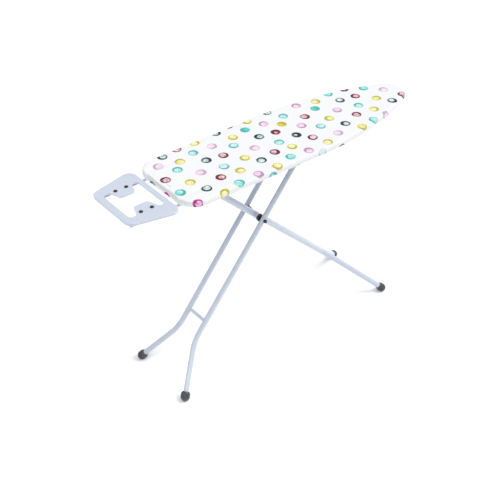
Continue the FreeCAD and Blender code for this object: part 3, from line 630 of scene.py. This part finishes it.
PAD_GAP = 0.2 * MM
PAD_INSET = 2.0 * MM
PAD_EDGE = 6.5 * MM


def build_pad(material):
    """Felt pad between the panel and the cover, with a rounded upper edge."""
    low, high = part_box("foam_pad")
    top = high.z - PAD_GAP
    rows = [(TOP_INSET, top)]
    for angle in (0, 30, 60, 90):
        a = math.radians(angle)
        inset = PAD_INSET + PAD_EDGE * (1 - math.sin(a))
        rows.append((inset, top - (top - low.z) * (1 - math.cos(a))))
    rings = [np.column_stack([OUTLINE - OUTLINE_NORMALS * inset, np.full(RING, z)])
             for inset, z in rows]
    vertices, faces, _ = top_and_rings(OUTLINE, OUTLINE_NORMALS, rings, GRID)
    made = mesh_object("felt_pad", vertices, faces)
    bottom = [len(vertices) - RING + i for i in range(RING)]
    made.data.materials.append(material)
    return close_bottom(made, bottom)


def close_bottom(obj, ring):
    """Closes the underside with one face across the ring of vertices."""
    shape = bmesh.new()
    shape.from_mesh(obj.data)
    shape.verts.ensure_lookup_table()
    shape.faces.new([shape.verts[i] for i in reversed(ring)])
    bmesh.ops.recalc_face_normals(shape, faces=shape.faces)
    shape.to_mesh(obj.data)
    shape.free()
    return obj


# ---------------------------------------------------------------- hem, stitches and welds

def tube_along(name, line, radius, sides, material, wobble):
    """Round tube along a closed line of points; wobble varies its radius."""
    line = np.asarray(line)
    count = len(line)
    ahead = np.roll(line, -1, 0) - np.roll(line, 1, 0)
    ahead /= np.linalg.norm(ahead, axis=1)[:, None]
    up = np.array([0.0, 0.0, 1.0])
    side = np.cross(ahead, up)
    side /= np.maximum(np.linalg.norm(side, axis=1), 1e-9)[:, None]
    other = np.cross(side, ahead)
    vertices = []
    for i in range(count):
        swell = 1 + wobble * noise.noise(Vector(line[i]) * 300)
        for k in range(sides):
            a = 2 * math.pi * k / sides
            round_it = math.cos(a) * side[i] + math.sin(a) * other[i]
            vertices.append(line[i] + radius * swell * round_it)
    faces = []
    for i in range(count):
        j = (i + 1) % count
        for k in range(sides):
            m = (k + 1) % sides
            faces.append((i * sides + k, i * sides + m, j * sides + m, j * sides + k))
    made = mesh_object(name, vertices, faces)
    made.data.materials.append(material)
    return made


# Pitch, length and radius of the stitches, and how far they stand below the cloth
STITCH = 4.5 * MM
STITCH_LONG = 3.2 * MM
STITCH_R = 0.45 * MM
STITCH_DROP = np.array([0.0, 0.0, 0.3 * MM])


def stitches(name, loop, material):
    """A row of short stitches along a closed loop, on the underside of the hem."""
    line = np.vstack([loop, loop[:1]])
    runs = np.concatenate([[0], np.cumsum(np.linalg.norm(np.diff(line, axis=0), axis=1))])
    shape = ((-0.5, 0.35), (-0.3, 0.9), (0.0, 1.0), (0.3, 0.9), (0.5, 0.35))
    vertices, faces = [], []
    for number in range(int(runs[-1] / STITCH)):
        start, end = [np.array([np.interp(number * STITCH + far, runs, line[:, k])
                                for k in range(3)]) for far in (0.0, STITCH_LONG)]
        middle, ahead = (start + end) / 2, end - start
        ahead /= max(np.linalg.norm(ahead), 1e-9)
        side = np.cross(ahead, (0.0, 0.0, 1.0))
        side /= np.linalg.norm(side)
        other = np.cross(side, ahead)
        first = len(vertices)
        for along, wide in shape:
            for k in range(6):
                a = math.pi * k / 3
                round_it = wide * STITCH_R * (math.cos(a) * side + math.sin(a) * other)
                vertices.append(middle + along * STITCH_LONG * ahead + round_it - STITCH_DROP)
        for ring in range(first, len(vertices) - 6, 6):
            faces.extend((ring + k, ring + (k + 1) % 6, ring + (k + 1) % 6 + 6, ring + k + 6)
                         for k in range(6))
    made = mesh_object(name, vertices, faces)
    made.data.materials.append(material)
    return made


# Radius of a weld bead, how far its ring stands off the brace and off the centre tube, and the
# points round it
BEAD_R = 1.1 * MM
BRACE_LIFT = 0.4 * MM
SLEEVE_LIFT = 0.2 * MM
BEAD_POINTS = 64


def middle_of(node):
    """x and z of the middle of a node's box."""
    low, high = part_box(node)
    return np.array([(low.x + high.x) / 2, (low.z + high.z) / 2])


def saddle(name, centre, along, radius, surface, body, material):
    """A weld bead where a round bar along Y meets a tube's side; surface gives the bead's y."""
    across = np.array([-along[1], along[0]])
    line = []
    for k in range(BEAD_POINTS):
        a = 2 * math.pi * k / BEAD_POINTS
        off = radius * (math.cos(a) * along + math.sin(a) * across)
        line.append((centre[0] + off[0], surface(radius * math.sin(a)), centre[1] + off[1]))
    made = tube_along(name, line, BEAD_R, 8, material, wobble=0.35)
    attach(made, body)
    return made


def weld_beads(material):
    """Fillet welds for the outer leg's brace and round the inner leg's cross sleeves. The brace's
    two lie inside the opposite tubes, because tube_r's box takes in the flared foot."""
    cross = middle_of("cross_bolt")
    outer_way = middle_of("top_bar") - cross
    outer_way /= np.linalg.norm(outer_way)
    inner_way = middle_of("fixed_pivot_rod") - cross
    inner_way /= np.linalg.norm(inner_way)
    tube_y = (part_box("tube_plug_far")[0].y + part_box("tube_plug_far")[1].y) / 2
    tube_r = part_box("outer_tube_far")[1].y - tube_y
    sleeve_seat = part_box("inner_tube")[1].y + SLEEVE_LIFT
    low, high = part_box("outer_brace")
    brace_r = (high.z - low.z) / 2
    low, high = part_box("cross_sleeve_far")
    sleeve_r = min(high.z - low.z, high.x - low.x) / 2
    beads = []
    for word, side in (("near", -1), ("far", 1)):
        beads.append(saddle("brace_weld_" + word, middle_of("outer_brace"), outer_way,
                            brace_r + BRACE_LIFT,
                            lambda p: side * (tube_y - math.sqrt(max(tube_r ** 2 - p * p, 0))),
                            "outer_leg", material))
        beads.append(saddle("sleeve_weld_" + word, cross, inner_way, sleeve_r,
                            lambda p: side * math.sqrt(max(sleeve_seat ** 2 - p * p, 0)),
                            "inner_leg", material))
    return beads


# ---------------------------------------------------------------- studio

# Soft lights: name, direction they come from, strength, angular width in degrees
SUNS = (("key", (0.58, -0.34, 0.76), 2.1, 36.0),
        ("fill", (-0.70, -0.25, 1.0), 0.9, 45.0))
# The world's strength overhead, at the horizon, and as a plain white backdrop
WORLD = 0.65
HORIZON = 0.42
BACKDROP = 1.06

# Half the floor's width, and the little light it gives off, as a lit studio table does
FLOOR = 14.0
FLOOR_GLOW = 0.04


def studio():
    """A sky that is dimmer near the horizon, a pale floor and two soft suns."""
    world = bpy.data.worlds.new("studio")
    bpy.context.scene.world = world
    world.use_nodes = True
    back = world.node_tree.nodes["Background"]
    back.inputs["Color"].default_value = rgb(0.97, 0.98, 1.0)
    nodes, links = world.node_tree.nodes, world.node_tree.links
    height = nodes.new("ShaderNodeSeparateXYZ")
    links.new(nodes.new("ShaderNodeTexCoord").outputs["Generated"], height.inputs[0])
    fade = nodes.new("ShaderNodeMapRange")
    fade.interpolation_type = "SMOOTHSTEP"
    links.new(height.outputs["Z"], fade.inputs["Value"])
    for key, value in (("From Min", 0.05), ("From Max", 0.45),
                       ("To Min", HORIZON), ("To Max", WORLD)):
        fade.inputs[key].default_value = value
    seen = nodes.new("ShaderNodeMix")
    links.new(nodes.new("ShaderNodeLightPath").outputs["Is Camera Ray"], seen.inputs[0])
    links.new(fade.outputs[0], seen.inputs[2])
    seen.inputs[3].default_value = BACKDROP
    links.new(seen.outputs[0], back.inputs["Strength"])

    corners = [(x * FLOOR, y * FLOOR, 0) for x, y in ((-1, -1), (1, -1), (1, 1), (-1, 1))]
    floor = mesh_object("floor", corners, [(0, 1, 2, 3)], smooth=False)
    t = Tree("pale_floor")
    grain = t.noise(t.place(), 30.0, 3.0)
    floor.data.materials.append(t.surface(
        Base_Color=t.mix(grain, rgb(0.93, 0.93, 0.93), rgb(0.95, 0.95, 0.95)), Roughness=0.9,
        Specular_IOR_Level=0.0, Emission_Color=rgb(1.0, 1.0, 1.0), Emission_Strength=FLOOR_GLOW))

    for name, toward, strength, spread in SUNS:
        light = bpy.data.lights.new(name, "SUN")
        light.energy = strength
        light.angle = math.radians(spread)
        lamp = bpy.data.objects.new(name, light)
        bpy.context.scene.collection.objects.link(lamp)
        lamp.rotation_euler = Vector(toward).to_track_quat("Z", "Y").to_euler()


LENS = 67.4
CAMERA_AT = (-1.8093, -2.1387, 2.4918)
AZIMUTH = math.radians(-38.91)
ELEVATION = math.radians(37.246)


def camera():
    """At the board's blunt, lever-side corner, above it, looking down along the board."""
    data = bpy.data.cameras.new("camera")
    data.lens = LENS
    data.sensor_width = 36.0
    made = bpy.data.objects.new("camera", data)
    bpy.context.scene.collection.objects.link(made)
    made.location = CAMERA_AT
    back = Vector((math.sin(AZIMUTH) * math.cos(ELEVATION),
                   -math.cos(AZIMUTH) * math.cos(ELEVATION), math.sin(ELEVATION)))
    made.rotation_euler = (-back).to_track_quat("-Z", "Y").to_euler()
    bpy.context.scene.camera = made


# ---------------------------------------------------------------- build

def main():
    bpy.context.scene.view_settings.view_transform = "Standard"
    materials = make_materials()
    for part in frame["record"]["subparts"]:
        node = frame["nodes"][part["node"]]
        node.data.materials.clear()
        node.data.materials.append(materials[part["material_slot"]])

    cover, flat, area, hem_line, seam_line = build_cover(materials["cover_cloth"])
    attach(cover, "board")
    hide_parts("cover")
    hem = tube_along("cover_hem", hem_line, HEM_R, 8, materials["hem_cloth"], wobble=0.25)
    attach(hem, "board")
    seam = stitches("hem_stitches", seam_line, materials["hem_cloth"])
    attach(seam, "board")
    pad = build_pad(materials["foam"])
    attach(pad, "board")
    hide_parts("foam_pad")
    for bead in weld_beads(materials["lacquered_steel"]):
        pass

    studio()
    camera()


main()
